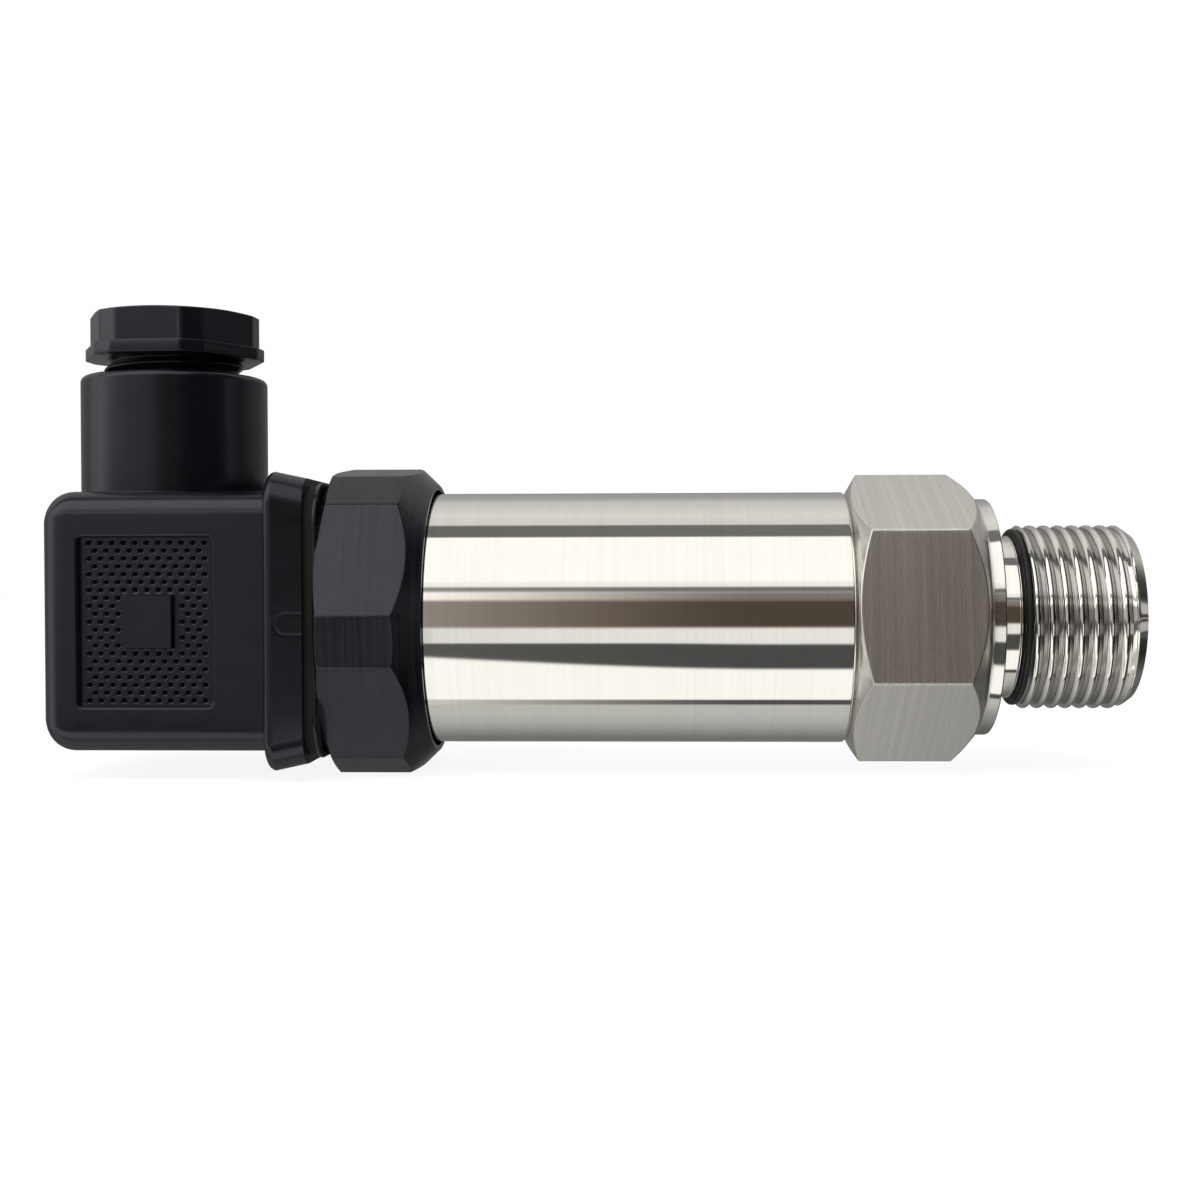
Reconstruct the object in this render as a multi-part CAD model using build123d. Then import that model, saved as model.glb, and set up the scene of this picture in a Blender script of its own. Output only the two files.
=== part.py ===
from build123d import *
import os
from math import floor, radians, sqrt, tan

os.makedirs("parts", exist_ok=True)

# Sizes are in millimetres.
# X runs along the body, from the plug to the process thread, and Z runs up the cable gland.
# The origin is the centre of the process connection's sealing face.

# Fits
seat_gap = 0.3
running_gap = 0.05
slot_gap = 0.06
thread_gap = 0.10
shaft_clear = 0.30

# Process connection
thread_d = 19.7
thread_pitch = 1.5
thread_depth = 0.9
thread_crest_flat = 0.23
thread_start = 3.9
thread_first_root = 0.85
thread_end = 15.05
thread_chamfer = 0.6
neck_step = 0.35
collar_ring_d = 25.4
collar_ring_w = 1.3
collar_ring_break = 0.25
hex_af = 27.0
hex_len = 13.85
hex_turn = 23.9
hex_face_step = 0.75
hex_back_angle = 30.0
hex_front_angle = 40.0
port_d = 6.0
port_chamfer = 0.8

# Neck seal
neck_seal_section = 1.0
neck_seal_back = 0.47

# Pressure cell
cell_d = 19.0
cell_len = 11.6
cell_face_x = -4.0
cell_groove_w = 2.2
cell_groove_depth = 1.4
cell_groove_back = 2.1
cell_ring_hole_d = 12.0
cell_ring_w = 3.4
cell_spigot_len = 4.85
flex_w = 7.0
flex_t = 0.3
flex_lead = 6.0
flex_drop = 3.0

# Body tube
tube_od = 27.0
tube_wall = 1.2
tube_len = 47.85
tube_break = 0.2

# Connector base
base_flat_wall = 2.38
base_corner_step = 1.88
base_turn = 6.73
base_len = 10.7
base_back_angle = 25.0
base_front_angle = 46.0
base_mouth_gap = 0.4
base_mouth_rim = 0.55
base_mouth_depth = 4.1
base_flange_inset = 0.43
base_flange_corner = 4.5
base_flange_t = 0.4
base_boss_gap = 0.6
base_boss_corner = 1.5
base_boss_len = 3.0
base_spigot_wall = 1.65
base_web = 3.65
base_spigot_len = 3.4
base_groove_w = 1.4
base_groove_depth = 0.9
base_groove_back = 0.8

# Contacts
blade_w = 6.3
blade_t = 0.8
blade_len = 8.0
blade_tip = 0.5
tail_w = 2.0
tail_past_board = 0.6
socket_w = 7.4
socket_t = 3.2
socket_web = 1.4
socket_proud = 1.2
pocket_wall = 0.64
terminal_screw_d = 2.4
terminal_screw_len = 3.0
terminal_head_d = 3.8
terminal_head_t = 1.2
terminal_slot_w = 0.6

# Amplifier board
board_t = 1.6
board_set_back = 1.5
board_edge_gap = 0.2
tail_inset = 1.4
chip_size = 4.0
chip_t = 1.2
chip_row = 3.4

# Gasket
gasket_inset = 0.73
gasket_corner = 4.2
gasket_t = 0.9

# Hood
hood_half = 13.4
hood_len = 23.8
hood_wall = 1.8
hood_edge = 2.6
hood_inner_edge = 1.0
skirt_len = 4.0
skirt_flare = 1.9
skirt_taper = 9.5
skirt_corner = 3.2
skirt_edge = 0.7
panel_w = 14.0
panel_h = 17.5
panel_depth = 1.1
panel_end = 4.4
panel_corner = 0.6
plate_w = 4.85
plate_h = 5.3
plate_end = 9.25
block_front_wall = 0.8
block_corner = 1.0

# Gland collar and gland
collar_inset = 0.77
collar_d = 19.86
collar_top = 26.2
collar_edge = 0.7
gland_thread_d = 14.9
gland_pitch = 1.41
gland_thread_depth = 0.65
gland_crest_flat = 0.16
gland_root_flat = 0.10
gland_open = 1.9
gland_shank_len = 7.6
gland_flange_step = 1.0
gland_flange_t = 1.3
gland_af = 17.0
gland_corner_step = 1.32
gland_turn = -3.0
gland_head_len = 3.6
gland_head_edge = 0.4
gland_hole_d = 9.2
gland_mouth_d = 12.4
gland_mouth_depth = 2.2
thrust_t = 0.9
seal_hole_d = 8.0
seal_side_gap = 0.2
ledge_t = 0.8
ledge_hole_d = 10.0

# Fixing screw
screw_d = 2.9
screw_engaged = 4.9
screw_head_d = 5.8
screw_head_t = 2.0
screw_slot_w = 0.8
screw_slot_depth = 1.1
screw_washer_lap = 0.3
screw_washer_t = 0.6
screw_recess_gap = 0.7
screw_recess_depth = 3.2
screw_boss_wall = 1.5
insert_d = 5.6
insert_back = 1.2

# Stations along X
ring_x = -collar_ring_w
hex_x = ring_x - hex_len
cell_end_x = hex_x - cell_spigot_len
cell_back_x = cell_face_x - seat_gap - cell_len
cell_groove_x = cell_face_x - seat_gap - cell_groove_back
tube_x = hex_x - tube_len
mouth_x = tube_x + base_mouth_depth
base_x = mouth_x - base_len
flange_x = base_x - base_flange_t
boss_x = flange_x - base_boss_len
skirt_x = flange_x - gasket_t
hood_x = skirt_x - skirt_len
hood_end_x = hood_x - hood_len
gland_x = hood_end_x + collar_inset + collar_d / 2
spigot_end_x = mouth_x + base_spigot_len
board_x = spigot_end_x - board_set_back
web_x = base_x + base_web
insert_x = boss_x + insert_back
blade_tip_x = boss_x - blade_len
block_x = boss_x - seat_gap
socket_x = block_x - block_front_wall
socket_end_x = blade_tip_x - seat_gap - socket_web - terminal_screw_len
block_end_x = socket_end_x + socket_proud
recess_x = hood_end_x + screw_recess_depth
under_head_x = recess_x - screw_washer_t

# Heights up the gland
ledge_z = hood_half - hood_wall + ledge_t
flange_z = collar_top + gland_open
shank_z = flange_z - gland_shank_len
thrust_z = shank_z - thrust_t
head_z = flange_z + gland_flange_t
gland_top = head_z + gland_head_len

# Radii and half widths that several pieces share
tube_r = tube_od / 2
tube_bore_r = tube_r - tube_wall
spigot_r = tube_bore_r - running_gap
hollow_r = spigot_r - base_spigot_wall
neck_r = thread_d / 2 - thread_depth - neck_step
cell_bore_r = cell_d / 2 + running_gap
gland_bore_r = gland_thread_d / 2 + thread_gap
screw_hole_r = screw_d / 2 + shaft_clear
recess_r = screw_head_d / 2 + screw_recess_gap
hood_inner = hood_half - hood_wall
skirt_half = hood_half + skirt_flare
skirt_front = skirt_half - skirt_len * tan(radians(skirt_taper))
boss_half = hood_inner - base_boss_gap
block_half = hood_inner - seat_gap
contact_r = block_half - pocket_wall - slot_gap - socket_t / 2
board_r = hollow_r - board_edge_gap
tail_r = board_r - tail_inset


# A solid turned about X from (x, radius) points.
def turned(points):
    return revolve(make_face(Polyline(*points, close=True)), Axis.X)


# A solid turned about the gland's axis from (z, radius) points.
def turned_up(points):
    outline = Polyline(*[(gland_x + r, 0, z) for z, r in points], close=True)
    return revolve(make_face(outline), Axis((gland_x, 0, 0), (0, 0, 1)))


# A round bar along X.
def rod(x0, x1, radius):
    return turned([(x0, 0), (x0, radius), (x1, radius), (x1, 0)])


# A round tube along X.
def pipe(x0, x1, inner, outer):
    return turned([(x0, inner), (x0, outer), (x1, outer), (x1, inner)])


# A round bar or hole along the gland's axis.
def post(z0, z1, radius):
    return turned_up([(z0, 0), (z0, radius), (z1, radius), (z1, 0)])


# A seal ring of round section about X.
def seal_ring(x, radius, section):
    return revolve(Pos(x, radius, 0) * Circle(section / 2), Axis.X)


# A square bar along X with rounded long edges.
def slab(x0, x1, half, corner):
    outline = RectangleRounded(2 * half, 2 * half, corner)
    return extrude(Plane.YZ.offset(x0) * outline, x1 - x0)


# A rectangular block between two corners.
def block(low, high):
    size = [b - a for a, b in zip(low, high)]
    middle = [(a + b) / 2 for a, b in zip(low, high)]
    return Pos(*middle) * Box(*size)


# A hexagon whose corners are cut off by a second hexagon.
def cut_hexagon(across, corner_across, turn):
    flats = RegularPolygon(across / 2, 6, major_radius=False, rotation=turn)
    corners = RegularPolygon(corner_across / 2, 6, major_radius=False, rotation=turn + 30)
    return flats & corners


# Outline points of a ring thread between two stations, as (position, radius).
def thread_points(first_root, count, pitch, crest_r, depth, crest_flat, flank):
    root_flat = pitch - crest_flat - 2 * flank
    points = []
    for i in range(count):
        root = first_root + i * pitch
        points.append((root - root_flat / 2 - flank, crest_r))
        points.append((root - root_flat / 2, crest_r - depth))
        points.append((root + root_flat / 2, crest_r - depth))
        points.append((root + root_flat / 2 + flank, crest_r))
    return points


# Process connection
# The thread is drawn as rings of the true profile and pitch, with no lead.
def process_connection():
    crest_r = thread_d / 2
    flank = thread_depth * tan(radians(30))
    first = thread_start + thread_first_root
    count = 1 + floor((thread_end - thread_chamfer - first) / thread_pitch)
    rings = thread_points(
        first, count, thread_pitch, crest_r, thread_depth, thread_crest_flat, flank
    )
    edge = collar_ring_d / 2
    outline = [
        (cell_end_x, 0),
        (cell_end_x, spigot_r),
        (hex_x, spigot_r),
        (hex_x, neck_r),
        (ring_x, neck_r),
        (ring_x, edge),
        (-collar_ring_break, edge),
        (0, edge - collar_ring_break),
        (0, neck_r),
        (thread_start, neck_r),
        (thread_start, crest_r),
        *rings,
        (thread_end - thread_chamfer, crest_r),
        (thread_end, crest_r - thread_chamfer),
        (thread_end, 0),
    ]
    body = turned(outline)
    corner_r = hex_af / sqrt(3)
    face_r = hex_af / 2 - hex_face_step
    back_x = hex_x + (corner_r - face_r) * tan(radians(hex_back_angle))
    front_x = ring_x - (corner_r - edge) * tan(radians(hex_front_angle))
    envelope = turned([
        (hex_x, 0),
        (hex_x, face_r),
        (back_x, corner_r),
        (front_x, corner_r),
        (ring_x, edge),
        (ring_x, 0),
    ])
    outline = RegularPolygon(hex_af / 2, 6, major_radius=False, rotation=hex_turn)
    body += extrude(Plane.YZ.offset(hex_x) * outline, hex_len) & envelope
    port_r = port_d / 2
    body -= rod(cell_end_x, cell_face_x, cell_bore_r)
    body -= turned([
        (cell_face_x, 0),
        (cell_face_x, port_r),
        (thread_end - port_chamfer, port_r),
        (thread_end, port_r + port_chamfer),
        (thread_end, 0),
    ])
    return body


# Neck seal, squeezed against the start of the thread
def neck_seal_ring():
    half = neck_seal_section / 2
    return seal_ring(thread_start - neck_seal_back - half, neck_r + half, neck_seal_section)


# Pressure cell, its seal and the ring that holds it
def sensor_cell():
    edge = cell_d / 2
    groove_end = cell_groove_x - cell_groove_w
    return turned([
        (cell_face_x - seat_gap, 0),
        (cell_face_x - seat_gap, edge),
        (cell_groove_x, edge),
        (cell_groove_x, edge - cell_groove_depth),
        (groove_end, edge - cell_groove_depth),
        (groove_end, edge),
        (cell_back_x, edge),
        (cell_back_x, 0),
    ])


def cell_seal_ring():
    section = cell_groove_depth
    radius = cell_d / 2 - cell_groove_depth / 2
    return seal_ring(cell_groove_x - cell_groove_w / 2, radius, section)


def cell_retaining_ring():
    end = cell_back_x - cell_ring_w
    return pipe(end, cell_back_x, cell_ring_hole_d / 2, cell_d / 2)


# Flat cable from the cell to the board, stepped down below the axis
def cell_flex_cable():
    start = -cell_ring_hole_d / 4
    low = start - flex_drop
    path = [
        (cell_back_x, start),
        (cell_back_x - flex_lead, start),
        (cell_back_x - flex_lead - flex_drop, low),
        (board_x, low),
    ]
    top = [(x, 0, z + flex_t) for x, z in path]
    bottom = [(x, 0, z) for x, z in reversed(path)]
    face = make_face(Polyline(*top, *bottom, close=True))
    return extrude(face, flex_w / 2, both=True)


# Body tube
def body_tube():
    return turned([
        (tube_x, tube_bore_r),
        (tube_x, tube_r - tube_break),
        (tube_x + tube_break, tube_r),
        (hex_x - tube_break, tube_r),
        (hex_x, tube_r - tube_break),
        (hex_x, tube_bore_r),
    ])


# Connector base: hexagon with cut corners, square flange, boss for the blades, hollow spigot
def at_contact(shape, turn):
    return Rot(turn, 0, 0) * shape


contact_turns = {"1": -90, "2": 90, "3": 0, "earth": 180}


# The step inside the base that takes a tail from the blade's radius to its hole in the board.
def tail_step():
    low, high = sorted((contact_r, tail_r))
    half_t = blade_t / 2
    return block(
        (web_x - blade_t, -tail_w / 2, low - half_t),
        (web_x, tail_w / 2, high + half_t),
    )


def blade_slot():
    half_t = blade_t / 2
    slot = block(
        (boss_x, -blade_w / 2, contact_r - half_t),
        (web_x, blade_w / 2, contact_r + half_t),
    )
    return slot + tail_step()


def connector_base():
    base_af = tube_od + 2 * base_flat_wall
    corner_af = base_af + base_corner_step
    outer_r = corner_af / sqrt(3)
    rim_r = tube_r + base_mouth_gap + base_mouth_rim
    back_x = base_x + (outer_r - base_af / 2) * tan(radians(base_back_angle))
    front_x = mouth_x - (outer_r - rim_r) * tan(radians(base_front_angle))
    envelope = turned([
        (base_x, 0),
        (base_x, base_af / 2),
        (back_x, outer_r),
        (front_x, outer_r),
        (mouth_x, rim_r),
        (mouth_x, 0),
    ])
    outline = cut_hexagon(base_af, corner_af, base_turn)
    body = extrude(Plane.YZ.offset(base_x) * outline, base_len) & envelope
    body += slab(flange_x, base_x, skirt_front - base_flange_inset, base_flange_corner)
    body += slab(boss_x, flange_x, boss_half, base_boss_corner)
    body -= pipe(tube_x, mouth_x, spigot_r, tube_r + base_mouth_gap)
    body += pipe(tube_x, spigot_end_x, hollow_r, spigot_r)
    groove_x = spigot_end_x - base_groove_back
    body -= pipe(groove_x - base_groove_w, groove_x, spigot_r - base_groove_depth, tube_r)
    body -= rod(web_x, spigot_end_x, hollow_r)
    body -= rod(boss_x, web_x, screw_hole_r)
    body -= rod(insert_x, web_x, insert_d / 2)
    for turn in contact_turns.values():
        body -= at_contact(blade_slot(), turn)
    return body


def base_seal_ring():
    section = base_groove_depth
    x = spigot_end_x - base_groove_back - base_groove_w / 2
    return seal_ring(x, spigot_r - section / 2, section)


# Threaded insert that takes the fixing screw
def screw_insert():
    return pipe(insert_x, web_x, screw_d / 2 + running_gap, insert_d / 2)


# One contact blade with its solder tail
def contact_blade():
    half_t = blade_t / 2
    shape = block(
        (blade_tip_x, -blade_w / 2, contact_r - half_t),
        (web_x, blade_w / 2, contact_r + half_t),
    )
    ends = shape.edges().filter_by(Axis.Z).sort_by(Axis.X)[:2]
    shape = chamfer(ends, blade_tip)
    tail = block(
        (web_x, -tail_w / 2, tail_r - half_t),
        (board_x + tail_past_board, tail_w / 2, tail_r + half_t),
    )
    return shape + tail_step() + tail


# Amplifier board, soldered to the blade tails
def amplifier_board():
    board = rod(board_x - board_t, board_x, board_r)
    half_t = blade_t / 2 + slot_gap
    hole = block(
        (board_x - board_t, -tail_w / 2 - slot_gap, tail_r - half_t),
        (board_x, tail_w / 2 + slot_gap, tail_r + half_t),
    )
    for turn in contact_turns.values():
        board -= at_contact(hole, turn)
    return board


def board_chips():
    back = board_x - board_t
    chips = []
    half = chip_size / 2
    for y, z in ((-chip_row, chip_row), (chip_row, chip_row), (0, -chip_row)):
        chips.append(block((back - chip_t, y - half, z - half), (back, y + half, z + half)))
    return Compound(children=chips)


# Flat gasket between the base and the hood
def flat_gasket():
    ring = slab(skirt_x, flange_x, skirt_front - gasket_inset, gasket_corner)
    return ring - slab(skirt_x, flange_x, boss_half + slot_gap, base_boss_corner)


# Hood: rounded square body, flared skirt, gland collar, side panel and screw recess
def hood_shell():
    body = block(
        (hood_end_x, -hood_half, -hood_half),
        (skirt_x, hood_half, hood_half),
    )
    long_edges = body.edges().filter_by(Axis.X)
    end_edges = body.faces().sort_by(Axis.X)[0].edges()
    body = fillet(long_edges + end_edges, hood_edge)
    outline = RectangleRounded(2 * skirt_half, 2 * skirt_half, skirt_corner)
    skirt = extrude(Plane.YZ.offset(hood_x) * outline, skirt_len, taper=skirt_taper)
    skirt_edges = skirt.faces().sort_by(Axis.X)[0].edges()
    body += fillet(skirt_edges, skirt_edge)
    collar = post(0, collar_top, collar_d / 2)
    body += fillet(collar.faces().sort_by(Axis.Z)[-1].edges(), collar_edge)
    return body


def side_panel():
    front = -hood_half
    panel_x = hood_end_x + panel_end + panel_w / 2
    outline = RectangleRounded(panel_w, panel_h, panel_corner)
    face = Plane(origin=(panel_x, front, 0), x_dir=(1, 0, 0), z_dir=(0, -1, 0))
    panel = extrude(face * outline, -panel_depth)
    plate_x = hood_end_x + plate_end
    plate = block(
        (plate_x, front, -plate_h / 2),
        (plate_x + plate_w, front + panel_depth, plate_h / 2),
    )
    return panel - plate


def connector_hood():
    boss_end = recess_x + screw_boss_wall
    inside = slab(hood_end_x + hood_wall, skirt_x, hood_inner, hood_inner_edge)
    inside -= rod(hood_end_x, boss_end, recess_r + screw_boss_wall)
    body = hood_shell() - inside
    body -= rod(hood_end_x, recess_x, recess_r)
    body -= rod(recess_x, boss_end, screw_hole_r)
    body -= post(ledge_z, collar_top, gland_bore_r)
    body -= post(hood_inner, ledge_z, ledge_hole_d / 2)
    body -= side_panel()
    return body


# Terminal block with a pocket for each socket
def terminal_block():
    body = slab(block_end_x, block_x, block_half, block_corner)
    body -= rod(block_end_x, block_x, screw_hole_r)
    half_t = socket_t / 2 + slot_gap
    half_w = socket_w / 2 + slot_gap
    pocket = block(
        (block_end_x, -half_w, contact_r - half_t),
        (socket_x, half_w, contact_r + half_t),
    )
    window_t = blade_t / 2 + shaft_clear
    window_w = blade_w / 2 + shaft_clear
    pocket += block(
        (socket_x, -window_w, contact_r - window_t),
        (block_x, window_w, contact_r + window_t),
    )
    for turn in contact_turns.values():
        body -= at_contact(pocket, turn)
    return body


# One socket: blade slot at the front, screw hole at the back
def contact_socket():
    half_t = socket_t / 2
    body = block(
        (socket_end_x, -socket_w / 2, contact_r - half_t),
        (socket_x, socket_w / 2, contact_r + half_t),
    )
    slot_t = blade_t / 2 + slot_gap
    slot_w = blade_w / 2 + slot_gap
    body -= block(
        (blade_tip_x - seat_gap, -slot_w, contact_r - slot_t),
        (socket_x, slot_w, contact_r + slot_t),
    )
    hole = rod(socket_end_x, socket_end_x + terminal_screw_len, terminal_screw_d / 2 + slot_gap)
    return body - Pos(0, 0, contact_r) * hole


def terminal_screws():
    screws = []
    head_x = socket_end_x - terminal_head_t
    for turn in contact_turns.values():
        shank = rod(socket_end_x, socket_end_x + terminal_screw_len, terminal_screw_d / 2)
        screw = shank + rod(head_x, socket_end_x, terminal_head_d / 2)
        half = terminal_head_d / 2
        slot = block(
            (head_x, -half, -terminal_slot_w / 2),
            (head_x + terminal_head_t / 2, half, terminal_slot_w / 2),
        )
        screws.append(at_contact(Pos(0, 0, contact_r) * (screw - slot), turn))
    return Compound(children=screws)


# Gland seal, thrust washer and gland nut
def gland_seal():
    outer = gland_bore_r - seal_side_gap
    inner = seal_hole_d / 2
    return turned_up([(ledge_z, inner), (ledge_z, outer), (thrust_z, outer), (thrust_z, inner)])


def thrust_washer():
    outer = gland_bore_r - seat_gap
    inner = gland_hole_d / 2
    return turned_up([(thrust_z, inner), (thrust_z, outer), (shank_z, outer), (shank_z, inner)])


def gland_nut():
    crest_r = gland_thread_d / 2
    flank = (gland_pitch - gland_crest_flat - gland_root_flat) / 2
    count = floor((gland_shank_len - gland_pitch / 2) / gland_pitch)
    rings = thread_points(
        shank_z + gland_pitch, count, gland_pitch, crest_r, gland_thread_depth,
        gland_crest_flat, flank,
    )
    hole_r = gland_hole_d / 2
    body = turned_up([
        (shank_z, hole_r),
        (shank_z, crest_r - gland_thread_depth),
        *rings,
        (flange_z, crest_r - gland_thread_depth),
        (flange_z, hole_r),
    ])
    corner_af = gland_af + gland_corner_step
    flange = cut_hexagon(gland_af + gland_flange_step, corner_af + gland_flange_step, gland_turn)
    body += Pos(gland_x, 0, flange_z) * extrude(flange, gland_flange_t)
    head = cut_hexagon(gland_af, corner_af, gland_turn)
    head_r = corner_af / sqrt(3)
    envelope = turned_up([
        (head_z, 0),
        (head_z, head_r),
        (gland_top - gland_head_edge, head_r),
        (gland_top, gland_af / 2),
        (gland_top, 0),
    ])
    body += (Pos(gland_x, 0, head_z) * extrude(head, gland_head_len)) & envelope
    body -= turned_up([
        (flange_z, 0),
        (flange_z, hole_r),
        (gland_top - gland_mouth_depth, hole_r),
        (gland_top, gland_mouth_d / 2),
        (gland_top, 0),
    ])
    return body


# Fixing screw and its washer
def screw_washer():
    outer = screw_head_d / 2 + screw_washer_lap
    return pipe(under_head_x, recess_x, screw_d / 2 + slot_gap, outer)


def fixing_screw():
    head_x = under_head_x - screw_head_t
    body = rod(under_head_x, insert_x + screw_engaged, screw_d / 2)
    body += rod(head_x, under_head_x, screw_head_d / 2)
    half = screw_head_d / 2
    slot = block(
        (head_x, -half, -screw_slot_w / 2),
        (head_x + screw_slot_depth, half, screw_slot_w / 2),
    )
    return body - slot


parts = {
    "process_connection": process_connection(),
    "neck_seal_ring": neck_seal_ring(),
    "sensor_cell": sensor_cell(),
    "cell_seal_ring": cell_seal_ring(),
    "cell_retaining_ring": cell_retaining_ring(),
    "cell_flex_cable": cell_flex_cable(),
    "body_tube": body_tube(),
    "connector_base": connector_base(),
    "base_seal_ring": base_seal_ring(),
    "screw_insert": screw_insert(),
    "amplifier_board": amplifier_board(),
    "board_chips": board_chips(),
    "flat_gasket": flat_gasket(),
    "connector_hood": connector_hood(),
    "terminal_block": terminal_block(),
    "terminal_screws": terminal_screws(),
    "gland_seal": gland_seal(),
    "thrust_washer": thrust_washer(),
    "gland_nut": gland_nut(),
    "screw_washer": screw_washer(),
    "fixing_screw": fixing_screw(),
}
for name, turn in contact_turns.items():
    parts[f"contact_blade_{name}"] = at_contact(contact_blade(), turn)
    parts[f"contact_socket_{name}"] = at_contact(contact_socket(), turn)

for name, shape in parts.items():
    export_step(shape, f"parts/{name}.step")
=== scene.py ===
import bmesh
import bpy
import numpy as np
from mathutils import Matrix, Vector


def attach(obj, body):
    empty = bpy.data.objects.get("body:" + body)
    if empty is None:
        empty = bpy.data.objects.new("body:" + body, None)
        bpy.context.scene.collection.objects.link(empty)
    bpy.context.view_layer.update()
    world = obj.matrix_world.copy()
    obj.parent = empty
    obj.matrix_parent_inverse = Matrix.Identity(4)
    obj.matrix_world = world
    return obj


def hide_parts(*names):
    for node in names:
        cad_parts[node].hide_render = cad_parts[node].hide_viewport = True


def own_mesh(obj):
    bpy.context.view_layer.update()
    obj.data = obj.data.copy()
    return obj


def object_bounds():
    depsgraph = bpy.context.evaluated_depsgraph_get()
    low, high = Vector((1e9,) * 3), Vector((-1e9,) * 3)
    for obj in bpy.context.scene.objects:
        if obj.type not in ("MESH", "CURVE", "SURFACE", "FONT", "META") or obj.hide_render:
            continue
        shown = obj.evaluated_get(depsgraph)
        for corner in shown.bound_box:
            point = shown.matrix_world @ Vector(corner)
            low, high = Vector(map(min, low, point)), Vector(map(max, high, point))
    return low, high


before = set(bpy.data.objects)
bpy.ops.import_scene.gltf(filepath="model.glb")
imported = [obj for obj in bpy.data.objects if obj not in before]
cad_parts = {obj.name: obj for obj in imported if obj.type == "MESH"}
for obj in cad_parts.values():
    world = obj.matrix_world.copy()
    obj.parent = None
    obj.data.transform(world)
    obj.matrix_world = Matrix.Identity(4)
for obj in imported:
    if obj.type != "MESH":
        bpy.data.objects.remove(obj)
cad_low, cad_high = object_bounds()
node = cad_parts
MM = 0.001

# The studio
# The sensor lies on a pale sweep between two long softboxes, one above and one below the camera.
# Its steel shows them as bands, so the surroundings are written as elevations about the long axis.
CAMERA_PLACE = (-34.80, -175.33, 5.23)
CAMERA_YAW = -0.0375
CAMERA_DIP = 0.019
CAMERA_ROLL = -0.0025
LENS = 48.28
SENSOR = 36.0


def camera_axes(yaw, dip, roll):
    """Right, up and forward of a camera that looks along +Y, turned by yaw, lowered by dip, then rolled."""
    forward = np.array([np.sin(yaw) * np.cos(dip), np.cos(yaw) * np.cos(dip), -np.sin(dip)])
    right = np.array([np.cos(yaw), -np.sin(yaw), 0.0])
    up = np.cross(right, forward)
    return (
        right * np.cos(roll) + up * np.sin(roll),
        up * np.cos(roll) - right * np.sin(roll),
        forward,
    )


def put(thing, side, rise, back, place):
    """Turns thing so that its X, Y and Z are side, rise and back, and moves it to place in millimetres."""
    rows = [(side[i], rise[i], back[i], place[i] * MM) for i in range(3)]
    thing.matrix_world = Matrix([*rows, (0, 0, 0, 1)])


right, up, forward = camera_axes(CAMERA_YAW, CAMERA_DIP, CAMERA_ROLL)
camera = bpy.data.objects.new("camera", bpy.data.cameras.new("camera"))
bpy.context.scene.collection.objects.link(camera)
camera.data.lens = LENS
camera.data.sensor_width = SENSOR
camera.data.clip_start = 0.01
put(camera, right, up, -forward, CAMERA_PLACE)
bpy.context.scene.camera = camera
bpy.context.scene.view_settings.view_transform = "Standard"


class Wire:
    """An output of a node in a shader tree. Arithmetic on wires adds Math nodes to that tree."""

    def __init__(self, shader, socket):
        self.shader = shader
        self.socket = socket

    def __add__(self, other):
        return self.shader.math("ADD", self, other)

    def __radd__(self, other):
        return self.shader.math("ADD", other, self)

    def __sub__(self, other):
        return self.shader.math("SUBTRACT", self, other)

    def __rsub__(self, other):
        return self.shader.math("SUBTRACT", other, self)

    def __mul__(self, other):
        return self.shader.math("MULTIPLY", self, other)

    def __rmul__(self, other):
        return self.shader.math("MULTIPLY", other, self)

    def __truediv__(self, other):
        return self.shader.math("DIVIDE", self, other)

    def __pow__(self, other):
        return self.shader.math("POWER", self, other)


class Shader:
    """A node tree under construction: node() adds any node, the rest are short names for common ones."""

    def __init__(self, tree):
        self.tree = tree

    def node(self, kind, settings=None, inputs=None):
        """One node of that kind, with its settings made first and then its sockets filled or linked."""
        made = self.tree.nodes.new(kind)
        for name, value in (settings or {}).items():
            setattr(made, name, value)
        for name, value in (inputs or {}).items():
            self.feed(made.inputs[name], value)
        return made

    def feed(self, socket, value):
        if isinstance(value, Wire):
            self.tree.links.new(value.socket, socket)
        else:
            socket.default_value = value

    def out(self, made, name=0):
        return Wire(self, made.outputs[name])

    def math(self, operation, *terms):
        return self.out(self.node("ShaderNodeMath", {"operation": operation}, dict(enumerate(terms))))

    def span(self, value, low, high, to_low=0.0, to_high=1.0):
        """value eased from low to high, as to_low to to_high, and held outside."""
        made = self.node(
            "ShaderNodeMapRange",
            {"interpolation_type": "SMOOTHSTEP"},
            {"Value": value, "From Min": low, "From Max": high, "To Min": to_low, "To Max": to_high},
        )
        return self.out(made)

    def blend(self, share, first, second):
        """Colour first at share 0 and second at share 1."""
        made = self.node("ShaderNodeMix", {"data_type": "RGBA"}, {0: share, 6: first, 7: second})
        return self.out(made, 2)

    def place(self, stretch=(1.0, 1.0, 1.0)):
        """Object coordinates in metres, multiplied by stretch on each axis."""
        made = self.node("ShaderNodeTexCoord")
        scaled = self.node(
            "ShaderNodeVectorMath",
            {"operation": "MULTIPLY"},
            {0: self.out(made, "Object"), 1: stretch},
        )
        return self.out(scaled)

    def noise(self, where, detail=2.0, roughness=0.5):
        """Noise from 0 to 1, one cell a unit of where."""
        made = self.node(
            "ShaderNodeTexNoise",
            {},
            {"Vector": where, "Scale": 1.0, "Detail": detail, "Roughness": roughness},
        )
        return self.out(made, "Fac")

    def bump(self, height, depth):
        """A normal tilted by height, where one unit of height is depth metres."""
        made = self.node("ShaderNodeBump", {}, {"Height": height, "Distance": depth, "Strength": 1.0})
        return self.out(made)


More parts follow.
